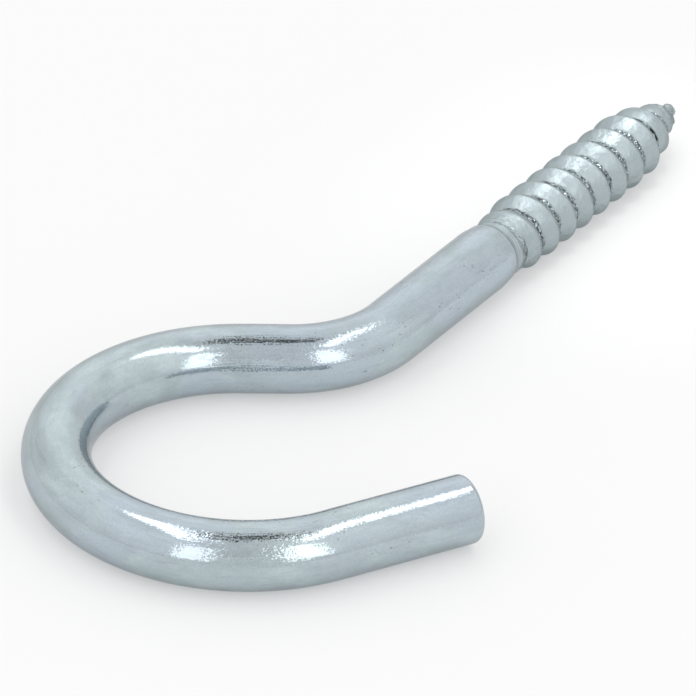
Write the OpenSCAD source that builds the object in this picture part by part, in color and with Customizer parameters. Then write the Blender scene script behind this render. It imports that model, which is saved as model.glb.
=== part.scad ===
// Open screw hook: one round rod with a wood thread rolled on one end, bent twice in one plane.
// The rod's centre line lies in the plane z = 0, so the hook lies flat. The screw's axis is the X axis,
// its point faces +X, and the origin is on that axis where the shoulder ends and the thread begins.

/* [Rod] */
// Diameter of the straight rod
rod_d = 8; // [7.6:0.1:10]
// How much the rod's radius thins where it is bent
bend_thinning = 0.02; // [0.01:0.01:0.1]

/* [Loop] */
// Clear diameter inside the loop
loop_inner_d = 34; // [28:0.5:50]
// How far the rod turns round the loop, in degrees
loop_sweep = 207.5; // [160:0.5:225]
// Straight length from the loop to the tail's end
tail_l = 17.4; // [6:0.1:30]
// Rounding of the tail's cut edge
tail_edge_r = 0.7; // [0.2:0.1:1.5]

/* [Neck] */
// How far the neck turns the rod off the screw's axis, in degrees
neck_angle = 56; // [35:0.5:70]
// Radius of the neck bend, on the rod's centre line
neck_bend_r = 14.3; // [10:0.1:25]
// Straight length between the neck bend and the loop
neck_l = 5.5; // [2:0.1:15]

/* [Shank] */
// Plain straight length between the shoulder and the neck bend
shank_l = 19; // [5:0.1:50]
// Length over which the rod rounds down to the thread
shoulder_l = 2.8; // [1.5:0.1:5]
// How much the rod's radius falls over the shoulder
shoulder_drop = 0.4; // [0.2:0.05:0.8]
// Small step at the shoulder's edge, down to the thread's blank
shoulder_step = 0.06; // [0.02:0.01:0.2]

/* [Thread] */
// Diameter over the thread's crests
thread_d = 8.7; // [7.8:0.1:10]
// Height of the thread, from root to crest
thread_depth = 1.1; // [0.8:0.05:1.6]
// Distance from one crest to the next
thread_pitch = 3.83; // [2.8:0.01:5]
// Length from the shoulder to the tip
thread_l = 41.7; // [30:0.1:60]
// Length over which the thread rises to its full height
run_in_l = 6.5; // [3:0.1:12]
// Width of the flat root between two lands
root_w = 0.4; // [0.2:0.02:0.8]
// Share of a land that is its long flank, which faces the shoulder
long_flank_share = 0.61; // [0.5:0.01:0.7]
// Bow of the long flank: 1 is straight, 2 is a parabola
long_flank_bow = 1.15; // [1:0.05:2]
// Bow of the short flank, which faces the tip
short_flank_bow = 1.6; // [1:0.05:2.5]
// Angle of the crest at the shoulder, turned from +Y towards +Z, in degrees
crest_start_angle = 137; // [0:1:359]

/* [Point] */
// Length of the tapered point
point_l = 11.5; // [6:0.1:18]
// Diameter over the crests at the blunt tip
tip_d = 1.3; // [0.8:0.1:3]
// Bow of the point's outline: 1 is a straight cone, more is fuller
point_bow = 1.5; // [1:0.1:2.5]
// How far the tip leans off the screw's axis, towards +Y
tip_lean = 0.45; // [0:0.05:0.8]

/* [Hidden] */

// Bright zinc plate
zinc = [0.72, 0.77, 0.80];
// Smoothness of round surfaces
$fn = 96;
// Corners round the thread's section, and sections along one turn of it
corner_count = 16;
section_count = 20;
// How deep one length of the rod is rooted in the next, and how much its radius falls there
root_l = 0.6;
root_taper = 0.15;

rod_r = rod_d / 2;
bend_rod_r = rod_r - bend_thinning;
loop_r = loop_inner_d / 2 + bend_rod_r;
crest_r = thread_d / 2;
tip_r = tip_d / 2;
blank_r = rod_r - shoulder_drop - shoulder_step;
// Turns of a bend, as seen from +Z by someone who walks along the rod towards the tail
left = 1;
right = -1;

// Shape of the thread

// Rises smoothly from 0 to 1 as s goes from 0 to 1
function ramp(s) = let(c = min(1, max(0, s))) c * c * (3 - 2 * c);

// Height of the thread as a share of its depth, where turn goes from 0 on one crest to 1 on the next:
// down the long flank, along the flat root and up the short flank
function land(turn) =
    let(both = 1 - root_w / thread_pitch)
    let(long_flank = both * long_flank_share, short_flank = both - long_flank)
    1 - min(
        pow(min(1, turn / long_flank), long_flank_bow),
        pow(min(1, (1 - turn) / short_flank), short_flank_bow)
    );

// Share of the point that lies behind x: 0 where it begins, 1 at the tip
function point_share(x) = max(0, 1 - (thread_l - x) / point_l);

// Outline over the crests, with the point
function outline_r(x) = crest_r - (crest_r - tip_r) * pow(point_share(x), point_bow);

// Radius of the threaded end at x, at that share of a turn past the crest
function thread_r(x, turn) =
    let(rise = ramp(x / run_in_l), top = outline_r(x))
    let(depth = thread_depth * rise * top / crest_r)
    blank_r + (top - blank_r) * rise - depth * (1 - land(turn));

// One corner of the section at x: the section turns with the thread, right-handed about +X
function thread_corner(x, k) =
    let(turn = k / corner_count)
    let(r = thread_r(x, turn))
    let(angle = crest_start_angle + 360 * (x / thread_pitch + turn))
    [x, r * cos(angle) + tip_lean * pow(point_share(x), 2), r * sin(angle)];

// Threaded end with its point, rooted in the shoulder
module thread() {
    steps = ceil((thread_l + root_l) / thread_pitch * section_count);
    last = corner_count - 1;
    corners = [
        for (i = [0 : steps], k = [0 : last])
            thread_corner(-root_l + (thread_l + root_l) * i / steps, k)
    ];
    function at(i, k) = i * corner_count + k % corner_count;
    side = [
        for (i = [0 : steps - 1], k = [0 : last])
            each [
                [at(i, k), at(i + 1, k), at(i + 1, k + 1)],
                [at(i, k), at(i + 1, k + 1), at(i, k + 1)]
            ]
    ];
    root = [for (k = [0 : last]) at(0, k)];
    tip = [for (k = [last : -1 : 0]) at(steps, k)];
    polyhedron(points = corners, faces = concat(side, [root, tip]));
}

// Pieces of the rod: each starts at the origin and runs towards -X

// Turns a profile about the rod: its x is the radius, its y the distance along the rod
module turned() {
    rotate([0, -90, 0])
        rotate_extrude()
            children();
}

// Profile of a straight length, rooted in the bend at its start, its end or both
module rooted_profile(length, at_start, at_end) {
    root_r = rod_r - root_taper;
    last = length + root_l;
    polygon(concat(
        at_start ? [[0, -root_l], [root_r, -root_l]] : [[0, 0]],
        [[rod_r, 0], [rod_r, length]],
        at_end ? [[root_r, last], [0, last]] : [[0, length]]
    ));
}

// Rounded shoulder and plain shank
module shank() {
    arc_r = (shoulder_l * shoulder_l + shoulder_drop * shoulder_drop) / (2 * shoulder_drop);
    turned() {
        intersection() {
            square([rod_r, shoulder_l]);
            translate([rod_r - arc_r, shoulder_l])
                circle(r = arc_r);
        }
        translate([0, shoulder_l])
            rooted_profile(shank_l, false, true);
    }
}

module straight(length) {
    turned()
        rooted_profile(length, true, true);
}

module bend(radius, angle, turn) {
    translate([0, -turn * radius, 0])
        rotate_extrude(angle = angle, start = turn == left ? 90 : 270 - angle)
            translate([radius, 0])
                circle(r = bend_rod_r);
}

// Straight tail, with the edge of its cut end rounded
module tail() {
    turned() {
        rooted_profile(tail_l - tail_edge_r, true, false);
        square([rod_r - tail_edge_r, tail_l]);
        translate([rod_r - tail_edge_r, tail_l - tail_edge_r])
            circle(r = tail_edge_r);
    }
}

// Places what follows a straight length, or a bend, of the rod
module past_straight(length) {
    translate([-length, 0, 0])
        children();
}

module past_bend(radius, angle, turn) {
    translate([0, -turn * radius, 0])
        rotate([0, 0, turn * angle])
            translate([0, turn * radius, 0])
                children();
}

// The whole hook, in one piece
module screw_hook() {
    color(zinc) {
        thread();
        shank();
        past_straight(shoulder_l + shank_l) {
            bend(neck_bend_r, neck_angle, right);
            past_bend(neck_bend_r, neck_angle, right) {
                straight(neck_l);
                past_straight(neck_l) {
                    bend(loop_r, loop_sweep, left);
                    past_bend(loop_r, loop_sweep, left)
                        tail();
                }
            }
        }
    }
}

screw_hook();
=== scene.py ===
# Open screw hook: one zinc-plated steel rod with a rolled wood thread, a bent neck and an open loop.
# The rod is one closed mesh of rings, swept from the thread's tip to the tail's cut end.
import math

import bpy
import numpy as np
from mathutils import Matrix, Vector, noise


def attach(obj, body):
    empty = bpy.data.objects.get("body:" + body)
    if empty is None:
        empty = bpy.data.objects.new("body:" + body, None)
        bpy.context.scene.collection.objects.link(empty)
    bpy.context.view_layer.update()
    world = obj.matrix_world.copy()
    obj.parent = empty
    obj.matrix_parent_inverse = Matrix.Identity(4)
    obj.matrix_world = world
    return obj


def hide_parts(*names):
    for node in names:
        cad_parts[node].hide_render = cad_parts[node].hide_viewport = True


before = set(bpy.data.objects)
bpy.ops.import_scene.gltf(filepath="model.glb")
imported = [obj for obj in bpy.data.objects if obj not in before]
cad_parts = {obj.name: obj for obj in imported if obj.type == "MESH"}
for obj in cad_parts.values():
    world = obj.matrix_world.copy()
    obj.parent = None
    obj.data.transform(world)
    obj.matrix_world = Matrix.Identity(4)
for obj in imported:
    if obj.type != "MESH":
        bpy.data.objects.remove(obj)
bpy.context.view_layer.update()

# Sizes of the hook in millimetres, and its angles in radians, as in the part's source
MM = 0.001
ROD_R = 4.0
BEND_ROD_R = 3.98
LOOP_R = 20.98
LOOP_SWEEP = math.radians(207.5)
TAIL_L = 17.4
TAIL_EDGE_R = 0.7
NECK_ANGLE = math.radians(56)
NECK_BEND_R = 14.3
NECK_L = 5.5
SHANK_L = 19.0
SHOULDER_L = 2.8
SHOULDER_DROP = 0.4
SHOULDER_STEP = 0.06
CREST_R = 4.35
THREAD_DEPTH = 1.1
THREAD_PITCH = 3.83
THREAD_L = 41.7
RUN_IN_L = 6.5
ROOT_W = 0.4
LONG_FLANK_SHARE = 0.61
LONG_FLANK_BOW = 1.15
SHORT_FLANK_BOW = 1.6
CREST_START = math.radians(137)
POINT_L = 11.5
TIP_R = 0.65
POINT_BOW = 1.5
TIP_LEAN = 0.45
BLANK_R = ROD_R - SHOULDER_DROP - SHOULDER_STEP
# Shares of a turn that the two flanks of a land take up, and the middle of the root between them
LONG_FLANK = (1 - ROOT_W / THREAD_PITCH) * LONG_FLANK_SHARE
SHORT_FLANK = 1 - ROOT_W / THREAD_PITCH - LONG_FLANK
ROOT_MIDDLE = LONG_FLANK + ROOT_W / THREAD_PITCH / 2

# Lengths of the rod behind the thread, in order, each with its curvature: left is positive
ROD_LENGTHS = (
    (SHOULDER_L + SHANK_L, 0.0),
    (NECK_BEND_R * NECK_ANGLE, -1 / NECK_BEND_R),
    (NECK_L, 0.0),
    (LOOP_R * LOOP_SWEEP, 1 / LOOP_R),
    (TAIL_L, 0.0),
)
ROD_L = sum(length for length, _ in ROD_LENGTHS)

# Fineness of the mesh
CORNERS = 48
RINGS_PER_TURN = 156
ROD_RING_STEP = 0.6
SHOULDER_RINGS = 28
EDGE_RINGS = 9
END_RINGS = 8
# How much closer the corners stand at the thread's root than on its crest
ROOT_CLOSENESS = 0.35

# Traces of the work on the rod, in millimetres

# Torn metal in the thread's root: its bounds about the root's middle, its soft edge and its height
TORN_FROM = -0.6
TORN_TO = 0.6
TORN_EDGE = 0.18
TORN_HEIGHT = 0.16
# Grain of the torn metal, and the finer grain on top of it: how many times finer, and its share
TORN_GRAIN_ALONG = 0.26
TORN_GRAIN_ACROSS = 0.2
FINE_GRAIN = 2.1
FINE_SHARE = 0.5
# Ragged edge of the torn metal: how far it wanders, how often against the grain, and its row of noise
RAGGED_EDGE = 0.12
RAGGED_GRAIN = 0.8
RAGGED_ROW = 7.5
# Fine lines round the rod where the thread runs out
RUN_OUT_LINES = (0.5, 0.85, 1.6)
RUN_OUT_DEPTH = 0.13
RUN_OUT_HALF_WIDTH = 0.09
# Rolled-up bead at the edge of the shoulder
BEAD_AT = 0.45
BEAD_HEIGHT = 0.07
BEAD_HALF_WIDTH = 0.32
# Length over which the rod thins into a bend
BEND_BLEND_L = 3.0
# The tip was pinched off: it ends in a lumpy pin, with a round lobe on its lower side
STUB_FROM = 38.7
STUB_TO = 39.7
STUB_R = 0.84
LUMPS_FROM = 36.8
LUMP_HEIGHT = 0.2
LUMP_SIZE = 0.5
LOBE_X = 39.5
LOBE_R = 0.66
LOBE_OFFSET = 1.03
LOBE_SIDE = math.radians(221)
# How torn the pinched tip is
TIP_TORN = 0.5
# One short crack in the thread's root: the turn it lies on, its half length in turns, and its shape
CRACK_TURN = 9.04
CRACK_HALF_TURNS = 0.075
CRACK_FADE_TURNS = 0.03
CRACK_OFFSET = 0.45
CRACK_HALF_WIDTH = 0.12
CRACK_DEPTH = 0.35
# Stretches of the rod that bending has roughened: middle, half length and share, and the least share
PEEL = ((39.5, 10.0, 1.0), (27.0, 8.0, 0.6), (107.5, 11.0, 1.0))
PEEL_LEAST = 0.12


# Shape of the threaded end


def ramp(s):
    """Rises smoothly from 0 to 1 as s goes from 0 to 1."""
    c = np.clip(s, 0.0, 1.0)
    return c * c * (3 - 2 * c)


def corner_turns():
    """Share of a turn past the crest for each corner of a ring. Corners stand closer at the root."""
    t = np.arange(CORNERS) / CORNERS
    lag = 2 * math.pi * (ROOT_MIDDLE - 0.5)
    return t + ROOT_CLOSENESS * (np.sin(2 * math.pi * t - lag) + math.sin(lag)) / (2 * math.pi)


def point_share(x):
    """Share of the point that lies behind x: 0 where it begins, 1 at the tip."""
    return max(0.0, 1 - (THREAD_L - x) / POINT_L)


def outline_r(x):
    """Radius over the thread's crests, with the point."""
    return CREST_R - (CREST_R - TIP_R) * point_share(x) ** POINT_BOW


def thread_r(x, turns):
    """Radius of the threaded end at x, at those shares of a turn past the crest."""
    rise = ramp(x / RUN_IN_L)
    top = outline_r(x)
    depth = THREAD_DEPTH * rise * top / CREST_R
    down_long_flank = np.minimum(1.0, turns / LONG_FLANK) ** LONG_FLANK_BOW
    down_short_flank = np.minimum(1.0, (1 - turns) / SHORT_FLANK) ** SHORT_FLANK_BOW
    return BLANK_R + (top - BLANK_R) * rise - depth * np.minimum(down_long_flank, down_short_flank)


def past_root(turns):
    """Distance from the root's middle, along the rod and towards the tip."""
    return (ROOT_MIDDLE - turns) * THREAD_PITCH


def torn_root(x, turns, angle):
    """Share of torn metal at each corner of the ring at x, and how far it moves that corner outwards."""
    across = past_root(turns)
    along = (CREST_R - THREAD_DEPTH) * angle / TORN_GRAIN_ALONG
    most = ramp(x / RUN_IN_L * 2) * math.sqrt(outline_r(x) / CREST_R)
    torn = np.zeros(CORNERS)
    height = np.zeros(CORNERS)
    for k in range(CORNERS):
        ragged = RAGGED_EDGE * noise.noise(Vector((along[k] * RAGGED_GRAIN, RAGGED_ROW, 0.0)))
        inside = min(across[k] - TORN_FROM, TORN_TO + ragged - across[k]) / TORN_EDGE
        torn[k] = min(1.0, max(0.0, inside)) * most
        if torn[k] > 0:
            spot = Vector((along[k], across[k] / TORN_GRAIN_ACROSS, 0.0))
            rough = noise.cell(spot) - 0.5 + FINE_SHARE * noise.noise(spot * FINE_GRAIN)
            height[k] = TORN_HEIGHT * torn[k] * rough
    return torn, height


def crack_share(x, turns):
    """Depth of the crack at each corner of the ring at x, as a share of its full depth."""
    from_end = CRACK_HALF_TURNS - abs(x / THREAD_PITCH + turns - CRACK_TURN)
    across = (past_root(turns) - CRACK_OFFSET) / CRACK_HALF_WIDTH
    return np.exp(-across ** 2) * ramp(from_end / CRACK_FADE_TURNS)


def run_out_depth(x):
    """Depth of the fine lines where the thread runs out, at x."""
    off_line = (x - np.array(RUN_OUT_LINES)) / RUN_OUT_HALF_WIDTH
    return RUN_OUT_DEPTH * np.exp(-off_line ** 2).sum()


def stub_r(x, angle):
    """Radius of the pinched tip at x: a pin with a ball end, and a round lobe on its lower side."""
    into_ball = np.clip((x - THREAD_L) / STUB_R + 1, 0.0, 0.99)
    pin = STUB_R * math.sqrt(1 - into_ball ** 2)
    ahead = LOBE_OFFSET * np.cos(angle - LOBE_SIDE)
    aside = LOBE_OFFSET * np.sin(angle - LOBE_SIDE)
    inside = LOBE_R ** 2 - (x - LOBE_X) ** 2 - aside ** 2
    lobe = np.where((inside > 0) & (ahead > 0), ahead + np.sqrt(np.maximum(0.0, inside)), 0.0)
    return np.maximum(pin, lobe)


def crumpled_share(x):
    """How lumpy the tip is at x: 0 on the thread, 1 on the pin."""
    return ramp((x - LUMPS_FROM) / (STUB_TO - LUMPS_FROM))


def crumpled_r(x, angle, r):
    """Radii of the ring at x where the thread's radii r go over into those of the lumpy pin."""
    r = r + (stub_r(x, angle) - r) * ramp((x - STUB_FROM) / (STUB_TO - STUB_FROM))
    lumps = np.ones(CORNERS)
    for k in range(CORNERS):
        spot = Vector((x, r[k] * math.cos(angle[k]), r[k] * math.sin(angle[k]))) / LUMP_SIZE
        lumps[k] += LUMP_HEIGHT * crumpled_share(x) * noise.noise(spot)
    return r * lumps


def thread_rings():
    """Rings of the threaded end, from the tip to the shoulder's edge. They turn with the thread."""
    turns = corner_turns()
    count = math.ceil(THREAD_L / THREAD_PITCH * RINGS_PER_TURN)
    rings = []
    for x in np.linspace(THREAD_L, 0.0, count, endpoint=False):
        angle = CREST_START + 2 * math.pi * (x / THREAD_PITCH + turns)
        torn, height = torn_root(x, turns, angle)
        cracked = crack_share(x, turns)
        r = thread_r(x, turns) + height - run_out_depth(x) - CRACK_DEPTH * cracked
        if crumpled_share(x) > 0:
            r = crumpled_r(x, angle, r)
        y = r * np.cos(angle)
        z = r * np.sin(angle)
        lean = TIP_LEAN * point_share(x) ** 2
        rings.append({
            "place": np.stack([np.full(CORNERS, x), y + lean, z], axis=1),
            "unbent": np.stack([np.full(CORNERS, -x), y, z], axis=1),
            "torn": np.maximum(torn, TIP_TORN * crumpled_share(x)),
            "peel": np.zeros(CORNERS),
            "cracked": cracked,
        })
    return rings


# Shape of the rod behind the thread


def rod_r(d):
    """Radius of the rod at the distance d behind the thread, without the rounded end of the tail."""
    arc_r = (SHOULDER_L ** 2 + SHOULDER_DROP ** 2) / (2 * SHOULDER_DROP)
    if d < SHOULDER_L:
        bead = BEAD_HEIGHT * math.exp(-((d - BEAD_AT) / BEAD_HALF_WIDTH) ** 2)
        return ROD_R - arc_r + math.sqrt(arc_r ** 2 - (SHOULDER_L - d) ** 2) + bead
    thinned = 0.0
    start = 0.0
    for length, curvature in ROD_LENGTHS:
        if curvature:
            into = ramp((d - start + BEND_BLEND_L / 2) / BEND_BLEND_L)
            out_of = ramp((d - start - length + BEND_BLEND_L / 2) / BEND_BLEND_L)
            thinned += into - out_of
        start += length
    return ROD_R - (ROD_R - BEND_ROD_R) * min(1.0, thinned)


def place(d):
    """Centre (x, y) of the rod and its right-hand normal, at the distance d behind the thread."""
    x = 0.0
    y = 0.0
    heading = math.pi
    left_over = d
    for length, curvature in ROD_LENGTHS:
        step = min(left_over, length)
        if curvature:
            turn = curvature * step
            x += (math.sin(heading + turn) - math.sin(heading)) / curvature
            y += (math.cos(heading) - math.cos(heading + turn)) / curvature
            heading += turn
        else:
            x += step * math.cos(heading)
            y += step * math.sin(heading)
        left_over -= step
        if left_over <= 0:
            break
    return x, y, math.sin(heading), -math.cos(heading)


def rod_stations():
    """Distance behind the thread and radius of each ring: shoulder, rod, rounded edge and cut end."""
    stations = []
    for d in np.linspace(0.0, SHOULDER_L, SHOULDER_RINGS, endpoint=False):
        stations.append((d, rod_r(d)))
    last = ROD_L - TAIL_EDGE_R
    for d in np.linspace(SHOULDER_L, last, round((last - SHOULDER_L) / ROD_RING_STEP)):
        stations.append((d, rod_r(d)))
    for a in np.linspace(0.0, math.pi / 2, EDGE_RINGS + 1)[1:]:
        inset = TAIL_EDGE_R * (1 - math.cos(a))
        stations.append((last + TAIL_EDGE_R * math.sin(a), ROD_R - inset))
    for k in range(1, END_RINGS):
        stations.append((ROD_L, (ROD_R - TAIL_EDGE_R) * (1 - k / END_RINGS)))
    return stations


def rod_rings():
    """Rings of the rod, from the shoulder's edge to the middle of the tail's cut end."""
    angle = CREST_START + 2 * math.pi * corner_turns()
    rings = []
    for d, r in rod_stations():
        x, y, nx, ny = place(d)
        across = r * np.cos(angle)
        z = r * np.sin(angle)
        humps = [share * ramp(1 - abs(d - middle) / half) for middle, half, share in PEEL]
        rings.append({
            "place": np.stack([x + across * nx, y + across * ny, z], axis=1),
            "unbent": np.stack([np.full(CORNERS, d), across, z], axis=1),
            "torn": np.zeros(CORNERS),
            "peel": np.full(CORNERS, max(PEEL_LEAST, *humps)),
            "cracked": np.zeros(CORNERS),
        })
    return rings


def build_hook():
    """One closed mesh, with each corner's place on the straight rod and its share of each trace."""
    rings = thread_rings() + rod_rings()
    count = len(rings)

    def gathered(name):
        """That value of all corners, then its mean at the tip's middle and at the cut end's middle."""
        values = np.array([ring[name] for ring in rings])
        middles = np.array([values[0].mean(axis=0), values[-1].mean(axis=0)])
        return np.concatenate([values.reshape(-1, *values.shape[2:]), middles])

    def at(ring, corner):
        return ring * CORNERS + corner % CORNERS

    faces = []
    for i in range(count - 1):
        for k in range(CORNERS):
            faces.append((at(i, k), at(i + 1, k), at(i + 1, k + 1), at(i, k + 1)))
    tip_middle = count * CORNERS
    end_middle = tip_middle + 1
    for k in range(CORNERS):
        faces.append((tip_middle, at(0, k), at(0, k + 1)))
        faces.append((end_middle, at(count - 1, k + 1), at(count - 1, k)))

    mesh = bpy.data.meshes.new("screw_hook_rod")
    mesh.from_pydata((gathered("place") * MM).tolist(), [], faces)
    mesh.shade_smooth()
    unbent = mesh.attributes.new("unbent", "FLOAT_VECTOR", "POINT")
    unbent.data.foreach_set("vector", (gathered("unbent") * MM).ravel())
    for name in ("torn", "peel", "cracked"):
        attribute = mesh.attributes.new(name, "FLOAT", "POINT")
        attribute.data.foreach_set("value", gathered(name))
    hook = bpy.data.objects.new("screw_hook_rod", mesh)
    bpy.context.scene.collection.objects.link(hook)
    return hook


# Zinc plate

ZINC_DARK = (0.456, 0.532, 0.556, 1.0)
ZINC_LIGHT = (0.532, 0.620, 0.643, 1.0)
ZINC_BLUE = (0.484, 0.552, 0.617, 1.0)
ZINC_GREY = (0.340, 0.397, 0.416, 1.0)
ZINC_ROLLED = (0.402, 0.466, 0.484, 1.0)
# Painted shade of the crevices in the torn root, given to its dark flakes
TORN_CREVICE_SHADE = (0.06, 0.07, 0.075, 1.0)
# Painted shade in the crack, which is also cut into the mesh
CRACK_SHADE_BLACK = (0.01, 0.01, 0.01, 1.0)
PIT = (0.14, 0.16, 0.17, 1.0)
METALLIC = 0.9
# How strongly the plate reflects at a glancing angle, against its own colour
GLANCE = 0.7
# Where the drawn rod's plate goes over into the rolled thread's, in millimetres behind the thread
ROLLED_EDGE = (1.2, -0.2)
# Patches of another colour: size in millimetres, detail, stretch along the rod, the levels of the noise
# between which they fade in, and their full share
LIGHT_CLOUDS = (3.2, 5, 1.7, 0.40, 0.60, 1.0)
BLUE_CLOUDS = (7.0, 4, 1.6, 0.44, 0.58, 0.9)
GREY_STREAKS = (0.5, 4, 7.0, 0.52, 0.75, 0.30)
GREY_MOTTLES = (1.2, 5, 2.0, 0.48, 0.66, 0.24)
PITS = (0.32, 1, 1.5, 0.68, 0.74, 1.0)
PIT_CLUSTERS = (5.0, 2, 2.0, 0.58, 0.66, 1.0)
SCRATCHED_PATCHES = (2.5, 2, 2.0, 0.52, 0.66, 0.25)
# Thin winding scratches: the noise that they follow, and half their width as a share of it
SCRATCH_COURSE = (3.0, 1, 6.0)
SCRATCH_WIDTH = 0.004
# The plate's crystals: size in millimetres, random levels between which they turn grey, and full share
CRYSTAL_SIZE = 0.13
CRYSTAL_GREY = (0.2, 0.9)
CRYSTAL_SHARE = 0.30
# How far they tilt where bending has roughened the skin, and on the rolled thread
CRYSTAL_TILT = 0.15
ROLLED_TILT = 0.03
# Flakes of torn metal: size in millimetres, tilt, random levels between which they turn dark with
# painted shade of the root's crevices, and the shares of torn metal between which that painted shade
# appears
FLAKE_SIZE = 0.14
FLAKE_TILT = 1.5
FLAKE_SHADE_LEVELS = (0.36, 0.33)
FLAKE_SHADE_APPEARS = (0.5, 0.9)
# Shares of the crack's depth between which it turns black with painted shade
CRACK_SHADE_APPEARS = (0.2, 0.6)
# Roughness, which varies in clouds: size in millimetres, detail and stretch
PLAIN_ROUGHNESS = (0.07, 0.14)
PLAIN_DULLING = (6.0, 3, 3.0)
ROLLED_ROUGHNESS = (0.36, 0.46)
ROLLED_DULLING = (1.5, 3, 1.0)
TORN_ROUGHNESS = 0.12
# Levels that most of a noise lies between
NOISE_RANGE = (0.3, 0.7)
# Relief: size in millimetres, detail and stretch of its noise, and its depth in millimetres
WAVES = (4.0, 2, 5.0)
WAVE_DEPTH = 0.03
DRAWN_LINES = (0.3, 2, 18.0)
LINE_DEPTH = 0.035
DENTS = (1.5, 4, 1.0)
DENT_DEPTH = 0.25
# Least strength of the drawn lines, where bending hasn't roughened the skin
LINE_LEAST = 0.1


def zinc_material():
    """Zinc plate with clouds, streaks, pits and scratches, dull on the thread and flaked where torn,
    with painted shade in the torn root and in the crack.
    """
    material = bpy.data.materials.new("zinc_plate")
    material.use_nodes = True
    nodes = material.node_tree.nodes
    link = material.node_tree.links.new
    shader = nodes["Principled BSDF"]
    shader.inputs["Metallic"].default_value = METALLIC
    shader.inputs["Specular Tint"].default_value = (GLANCE, GLANCE, GLANCE, 1.0)
    rod = nodes.new("ShaderNodeAttribute")
    rod.attribute_name = "unbent"

    def trace(name):
        """Share of that trace, which the mesh carries."""
        attribute = nodes.new("ShaderNodeAttribute")
        attribute.attribute_name = name
        return attribute.outputs["Fac"]

    def cloud(size, detail, stretch):
        """Noise with spots of that size in millimetres, drawn out along the rod by stretch."""
        spread = nodes.new("ShaderNodeMapping")
        spread.inputs["Scale"].default_value = (1 / stretch, 1, 1)
        link(rod.outputs["Vector"], spread.inputs["Vector"])
        texture = nodes.new("ShaderNodeTexNoise")
        texture.inputs["Scale"].default_value = 1 / (size * MM)
        texture.inputs["Detail"].default_value = detail
        link(spread.outputs["Vector"], texture.inputs["Vector"])
        return texture.outputs["Fac"]

    def cells(size):
        """Random colour for each grain of that size in millimetres."""
        texture = nodes.new("ShaderNodeTexVoronoi")
        texture.inputs["Scale"].default_value = 1 / (size * MM)
        link(rod.outputs["Vector"], texture.inputs["Vector"])
        return texture.outputs["Color"]

    def spread_over(value, low, high, bottom=0.0, top=1.0):
        """Maps low to bottom and high to top, and keeps what lies outside at the ends."""
        mapped = nodes.new("ShaderNodeMapRange")
        mapped.inputs["From Min"].default_value = low
        mapped.inputs["From Max"].default_value = high
        mapped.inputs["To Min"].default_value = bottom
        mapped.inputs["To Max"].default_value = top
        link(value, mapped.inputs["Value"])
        return mapped.outputs["Result"]

    def patches(size, detail, stretch, low, high, share):
        """Share of patches of a noise, which fade in from its level low to its level high."""
        return spread_over(cloud(size, detail, stretch), low, high, 0.0, share)

    def times(a, b):
        product = nodes.new("ShaderNodeMath")
        product.operation = "MULTIPLY"
        link(a, product.inputs[0])
        link(b, product.inputs[1])
        return product.outputs["Value"]

    def contour(value, width):
        """1 on the winding lines where the value is in its middle, 0 beside them."""
        line = nodes.new("ShaderNodeMath")
        line.operation = "COMPARE"
        line.inputs[1].default_value = 0.5
        line.inputs[2].default_value = width
        link(value, line.inputs[0])
        return line.outputs["Value"]

    def mixed(factor, a, b, kind="FLOAT"):
        """a where the factor is 0, b where it is 1. Each is a constant or a socket."""
        mix = nodes.new("ShaderNodeMix")
        mix.data_type = kind
        link(factor, mix.inputs["Factor"])
        for name, value in (("A", a), ("B", b)):
            if isinstance(value, (float, tuple)):
                mix.inputs[name].default_value = value
            else:
                link(value, mix.inputs[name])
        return mix.outputs["Result"]

    def shaded(factor, a, b):
        """Colour a where the factor is 0, colour b where it is 1."""
        return mixed(factor, a, b, "RGBA")

    def relief(height, depth, strength=None, below=None):
        """Bump of that depth in millimetres, at full strength if none is given, on top of another."""
        bump = nodes.new("ShaderNodeBump")
        bump.inputs["Strength"].default_value = 1.0
        bump.inputs["Distance"].default_value = depth * MM
        link(height, bump.inputs["Height"])
        if strength:
            link(strength, bump.inputs["Strength"])
        if below:
            link(below, bump.inputs["Normal"])
        return bump.outputs["Normal"]

    def tilted(normal, grains, amount):
        """Turns the normal a little, each grain its own way."""
        centred = nodes.new("ShaderNodeVectorMath")
        centred.operation = "SUBTRACT"
        centred.inputs[1].default_value = (0.5, 0.5, 0.5)
        link(grains, centred.inputs[0])
        turn = nodes.new("ShaderNodeVectorMath")
        turn.operation = "SCALE"
        link(centred.outputs["Vector"], turn.inputs[0])
        link(amount, turn.inputs["Scale"])
        total = nodes.new("ShaderNodeVectorMath")
        total.operation = "ADD"
        link(normal, total.inputs[0])
        link(turn.outputs["Vector"], total.inputs[1])
        unit = nodes.new("ShaderNodeVectorMath")
        unit.operation = "NORMALIZE"
        link(total.outputs["Vector"], unit.inputs[0])
        return unit.outputs["Vector"]

    # Where the thread is, and the traces of the work
    place_on_rod = nodes.new("ShaderNodeSeparateXYZ")
    link(rod.outputs["Vector"], place_on_rod.inputs["Vector"])
    rolled = spread_over(place_on_rod.outputs["X"], ROLLED_EDGE[0] * MM, ROLLED_EDGE[1] * MM)
    torn = trace("torn")
    peel = trace("peel")
    cracked = trace("cracked")
    crystals = cells(CRYSTAL_SIZE)
    flakes = cells(FLAKE_SIZE)

    # Clouds and streaks in the plate's colour, and the grain of its crystals
    colour = shaded(patches(*LIGHT_CLOUDS), ZINC_DARK, ZINC_LIGHT)
    colour = shaded(patches(*BLUE_CLOUDS), colour, ZINC_BLUE)
    colour = shaded(patches(*GREY_STREAKS), colour, ZINC_GREY)
    colour = shaded(patches(*GREY_MOTTLES), colour, ZINC_GREY)
    colour = shaded(spread_over(crystals, *CRYSTAL_GREY, 0.0, CRYSTAL_SHARE), colour, ZINC_GREY)
    colour = shaded(rolled, colour, ZINC_ROLLED)
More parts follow.
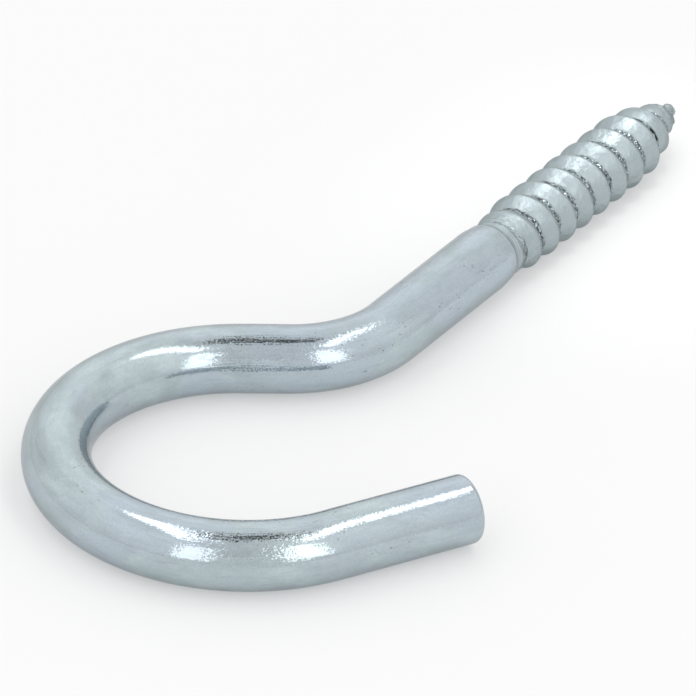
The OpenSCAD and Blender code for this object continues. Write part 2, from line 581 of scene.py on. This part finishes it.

    # Scratches, clusters of small pits, dark flakes of torn metal with painted shade of the root's
    # crevices, and the crack with painted shade in it
    scratches = contour(cloud(*SCRATCH_COURSE), SCRATCH_WIDTH)
    colour = shaded(times(scratches, patches(*SCRATCHED_PATCHES)), colour, PIT)
    colour = shaded(times(patches(*PITS), patches(*PIT_CLUSTERS)), colour, PIT)
    # Dark flakes in the torn root: painted shade of its crevices
    flake_shade = times(spread_over(flakes, *FLAKE_SHADE_LEVELS), spread_over(torn, *FLAKE_SHADE_APPEARS))
    colour = shaded(flake_shade, colour, TORN_CREVICE_SHADE)
    # The crack turns black: painted shade in its depth
    colour = shaded(spread_over(cracked, *CRACK_SHADE_APPEARS), colour, CRACK_SHADE_BLACK)
    link(colour, shader.inputs["Base Color"])

    # Roughness, higher on the rolled thread
    plain = spread_over(cloud(*PLAIN_DULLING), *NOISE_RANGE, *PLAIN_ROUGHNESS)
    dull = spread_over(cloud(*ROLLED_DULLING), *NOISE_RANGE, *ROLLED_ROUGHNESS)
    link(mixed(torn, mixed(rolled, plain, dull), TORN_ROUGHNESS), shader.inputs["Roughness"])

    # Relief of the rod and the thread, then the crystals and the flakes, each tilted its own way
    waves = relief(cloud(*WAVES), WAVE_DEPTH)
    lines = relief(cloud(*DRAWN_LINES), LINE_DEPTH, spread_over(peel, 0.0, 1.0, LINE_LEAST), waves)
    dented = relief(cloud(*DENTS), DENT_DEPTH, rolled, lines)
    plated = tilted(dented, crystals, mixed(peel, ROLLED_TILT, CRYSTAL_TILT))
    flaked = tilted(plated, flakes, mixed(torn, 0.0, FLAKE_TILT))
    link(flaked, shader.inputs["Normal"])
    return material


hook = build_hook()
hook.data.materials.append(zinc_material())
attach(hook, "root")
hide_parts("screw_hook")

# Floor, which lies under the loop and under the thread's crests

FLOOR_SIZE = 12.0
FLOOR_COLOUR = (0.53, 0.53, 0.53, 1.0)
# Where a crest touches the floor, and how far behind it the loop does, in millimetres along X
CREST_CONTACT_X = 30.0
CONTACT_SPAN = 105.0
# Glow of the paper near the hook and far from it, and the distances in metres between which it fades.
# The stronger glow near the hook is a painted pool of light, which lightens the hook's shadow.
NEAR_GLOW = 0.36
FAR_GLOW = 0.24
GLOW_FADE = (0.15, 0.7)


def paper_material():
    """White paper. It glows as far as the camera and reflections see it, and lights nothing by that."""
    material = bpy.data.materials.new("white_floor")
    material.use_nodes = True
    nodes = material.node_tree.nodes
    link = material.node_tree.links.new
    nodes.clear()

    def combined(operation, a, b):
        both = nodes.new("ShaderNodeMath")
        both.operation = operation
        link(a, both.inputs[0])
        link(b, both.inputs[1])
        return both.outputs["Value"]

    path = nodes.new("ShaderNodeLightPath")
    mirrored = combined("MAXIMUM", path.outputs["Is Glossy Ray"], path.outputs["Is Transmission Ray"])
    seen = combined("MAXIMUM", path.outputs["Is Camera Ray"], mirrored)
    place_on_floor = nodes.new("ShaderNodeTexCoord")
    distance = nodes.new("ShaderNodeVectorMath")
    distance.operation = "LENGTH"
    link(place_on_floor.outputs["Object"], distance.inputs[0])
    # Stronger glow near the hook: a painted pool of light on the floor
    fade = nodes.new("ShaderNodeMapRange")
    fade.inputs["From Min"].default_value = GLOW_FADE[0]
    fade.inputs["From Max"].default_value = GLOW_FADE[1]
    fade.inputs["To Min"].default_value = NEAR_GLOW
    fade.inputs["To Max"].default_value = FAR_GLOW
    link(distance.outputs["Value"], fade.inputs["Value"])

    paper = nodes.new("ShaderNodeBsdfDiffuse")
    paper.inputs["Color"].default_value = FLOOR_COLOUR
    glow = nodes.new("ShaderNodeEmission")
    link(combined("MULTIPLY", seen, fade.outputs["Result"]), glow.inputs["Strength"])
    total = nodes.new("ShaderNodeAddShader")
    link(paper.outputs["BSDF"], total.inputs[0])
    link(glow.outputs["Emission"], total.inputs[1])
    output = nodes.new("ShaderNodeOutputMaterial")
    link(total.outputs["Shader"], output.inputs["Surface"])
    return material


def build_floor():
    """Square floor, tilted by a hair because the crests stand a little prouder than the rod."""
    mesh = bpy.data.meshes.new("floor")
    half = FLOOR_SIZE / 2
    corners = [(-half, -half, 0), (half, -half, 0), (half, half, 0), (-half, half, 0)]
    mesh.from_pydata(corners, [], [(0, 1, 2, 3)])
    mesh.materials.append(paper_material())
    floor = bpy.data.objects.new("floor", mesh)
    bpy.context.scene.collection.objects.link(floor)
    tilt = math.atan((CREST_R - BEND_ROD_R) / CONTACT_SPAN)
    floor.rotation_euler = (0, tilt, 0)
    floor.location = (0, 0, (-CREST_R + CREST_CONTACT_X * math.tan(tilt)) * MM)


# Camera, at the photograph's viewing angle

VIEW_HEADING = math.radians(58.065)
VIEW_DOWN = math.radians(31.153)
VIEW_ROLL = math.radians(1.652)
VIEW_AIM = Vector((-27.73, 2.08, 0.0)) * MM
VIEW_DISTANCE = 985.9 * MM
# Focal length and sensor width in millimetres, and the nearest distance in metres that is seen
LENS = 444.34
SENSOR_WIDTH = 36.0
CLIP_START = 0.01


def build_camera():
    """Camera that looks along its heading and down, rolled a little."""
    forward = Vector((
        math.sin(VIEW_HEADING) * math.cos(VIEW_DOWN),
        math.cos(VIEW_HEADING) * math.cos(VIEW_DOWN),
        -math.sin(VIEW_DOWN),
    ))
    level_right = Vector((math.cos(VIEW_HEADING), -math.sin(VIEW_HEADING), 0.0))
    level_up = level_right.cross(forward)
    right = math.cos(VIEW_ROLL) * level_right + math.sin(VIEW_ROLL) * level_up
    up = right.cross(forward)
    data = bpy.data.cameras.new("camera")
    data.lens = LENS
    data.sensor_width = SENSOR_WIDTH
    data.clip_start = CLIP_START
    camera = bpy.data.objects.new("camera", data)
    turn = Matrix((right, up, -forward)).transposed().to_4x4()
    camera.matrix_world = Matrix.Translation(VIEW_AIM - forward * VIEW_DISTANCE) @ turn
    bpy.context.scene.collection.objects.link(camera)
    bpy.context.scene.camera = camera


# Light: a pale tent, two upright softboxes, two strips overhead and a small lamp over the thread

UP = Vector((0, 0, 1))
LAMP_AIM = Vector((-20.0, 0.0, 0.0)) * MM
# Upright softboxes: the azimuths and elevations that each lies between, in degrees, and its radiance
PANEL_DISTANCE = 1.2
PANELS = {
    "left_softbox": (179, 196, 6, 50, 1.05),
    "right_softbox": (235, 256, 9, 52, 1.2),
}
# Strips overhead: bounds to the side and towards the camera, as shares of their height, and the radiance
STRIP_HEIGHT = 1.2
STRIPS = {
    "first_strip": (-0.40, -0.22, -0.48, 0.38, 1.8),
    "second_strip": (0.31, 0.48, -0.48, 0.38, 1.8),
}
# Lamp over the thread: its aim, its height and size in metres, its radiance and the angle of its beam
THREAD_LAMP_AIM = Vector((24.0, -3.0, 0.0)) * MM
THREAD_LAMP_HEIGHT = 0.12
THREAD_LAMP_SIZE = (0.05, 0.04)
THREAD_LAMP_RADIANCE = 0.235
THREAD_LAMP_BEAM = math.radians(24)
# Light of the tent at the level TENT_BRIGHTEST
TENT_STRENGTH = 1.11
TENT_BRIGHTEST = 1.05
# Levels of the tent by the height of the direction: 0 at the horizon, 1 straight up
TENT_LEVELS = (
    (0.0, 0.80), (0.26, 0.90), (0.45, 0.98), (0.7, 1.04),
    (0.81, 1.05), (0.87, 0.96), (0.95, 0.84), (1.0, 0.72),
)
# Darker and lighter spots of the tent: azimuth, elevation, angles of core and rim in degrees, and level
TENT_SPOTS = {
    "camera_opening": (215, 46, 13, 26, 0.76),
    "top_opening": (10, 86.5, 6.0, 11.5, 0.0),
    "camera": (212, 31, 1.5, 3.0, 0.4),
    "left_corner": (76, 28, 8, 20, 0.86),
    "right_corner": (342, 28, 14, 28, 0.88),
    "far_wall": (28, 12, 18, 34, 1.13),
}


def build_world():
    """Tent of light, which is a world with a level for each height and a few spots."""
    world = bpy.data.worlds.new("light_tent")
    bpy.context.scene.world = world
    world.use_nodes = True
    nodes = world.node_tree.nodes
    link = world.node_tree.links.new
    direction = nodes.new("ShaderNodeTexCoord").outputs["Generated"]
    split = nodes.new("ShaderNodeSeparateXYZ")
    link(direction, split.inputs["Vector"])
    shade = nodes.new("ShaderNodeValToRGB")
    link(split.outputs["Z"], shade.inputs["Fac"])
    elements = shade.color_ramp.elements
    while len(elements) < len(TENT_LEVELS):
        elements.new(1.0)
    for element, (height, level) in zip(elements, TENT_LEVELS):
        element.position = height
        grey = level / TENT_BRIGHTEST
        element.color = (grey, grey, grey, 1.0)

    colour = shade.outputs["Color"]
    for azimuth, elevation, core, rim, level in TENT_SPOTS.values():
        turn = math.radians(azimuth)
        climb = math.radians(elevation)
        facing = nodes.new("ShaderNodeVectorMath")
        facing.operation = "DOT_PRODUCT"
        facing.inputs[1].default_value = (
            math.cos(turn) * math.cos(climb),
            math.sin(turn) * math.cos(climb),
            math.sin(climb),
        )
        link(direction, facing.inputs[0])
        spot = nodes.new("ShaderNodeMapRange")
        spot.interpolation_type = "SMOOTHSTEP"
        spot.inputs["From Min"].default_value = math.cos(math.radians(rim))
        spot.inputs["From Max"].default_value = math.cos(math.radians(core))
        spot.inputs["To Min"].default_value = 1.0
        spot.inputs["To Max"].default_value = level
        link(facing.outputs["Value"], spot.inputs["Value"])
        changed = nodes.new("ShaderNodeVectorMath")
        changed.operation = "SCALE"
        link(colour, changed.inputs[0])
        link(spot.outputs["Result"], changed.inputs["Scale"])
        colour = changed.outputs["Vector"]
    background = nodes["Background"]
    link(colour, background.inputs["Color"])
    background.inputs["Strength"].default_value = TENT_STRENGTH


def softbox(name, centre, x_axis, y_axis, width, height, radiance):
    """Area lamp with its sides along the two axes. It shines against their cross product."""
    lamp = bpy.data.lights.new(name, "AREA")
    lamp.shape = "RECTANGLE"
    lamp.size = width
    lamp.size_y = height
    lamp.energy = math.pi * width * height * radiance
    holder = bpy.data.objects.new(name, lamp)
    turn = Matrix((x_axis, y_axis, x_axis.cross(y_axis))).transposed().to_4x4()
    holder.matrix_world = Matrix.Translation(centre) @ turn
    holder.visible_camera = False
    bpy.context.scene.collection.objects.link(holder)
    return lamp


def thread_lamp():
    """Small lamp with a narrow beam, straight over the thread."""
    centre = THREAD_LAMP_AIM + UP * THREAD_LAMP_HEIGHT
    x_axis = Vector((1, 0, 0))
    y_axis = Vector((0, 1, 0))
    lamp = softbox("thread_lamp", centre, x_axis, y_axis, *THREAD_LAMP_SIZE, THREAD_LAMP_RADIANCE)
    lamp.spread = THREAD_LAMP_BEAM


def upright_panel(name, azimuth_from, azimuth_to, low, high, radiance):
    """Upright softbox between two azimuths and two elevations, in degrees, as seen from the hook."""
    middle = math.radians((azimuth_from + azimuth_to) / 2)
    width = 2 * PANEL_DISTANCE * math.tan(math.radians(azimuth_to - azimuth_from) / 2)
    bottom = PANEL_DISTANCE * math.tan(math.radians(low))
    top = PANEL_DISTANCE * math.tan(math.radians(high))
    outward = Vector((math.cos(middle), math.sin(middle), 0.0))
    centre = LAMP_AIM + outward * PANEL_DISTANCE + UP * (bottom + top) / 2
    softbox(name, centre, UP.cross(outward), UP, width, top - bottom, radiance)


def overhead_strip(name, side_from, side_to, back, front, radiance):
    """Strip overhead, parallel to the way the camera looks. Its bounds are shares of its height."""
    towards = Vector((-math.sin(VIEW_HEADING), -math.cos(VIEW_HEADING), 0.0))
    side = UP.cross(towards)
    offset = side * (side_from + side_to) / 2 + towards * (back + front) / 2
    centre = LAMP_AIM + (offset + UP) * STRIP_HEIGHT
    width = (side_to - side_from) * STRIP_HEIGHT
    length = (front - back) * STRIP_HEIGHT
    softbox(name, centre, side, -towards, width, length, radiance)


build_floor()
build_world()
thread_lamp()
for panel, bounds_and_radiance in PANELS.items():
    upright_panel(panel, *bounds_and_radiance)
for strip, bounds_and_radiance in STRIPS.items():
    overhead_strip(strip, *bounds_and_radiance)
build_camera()
bpy.context.scene.view_settings.view_transform = "Standard"
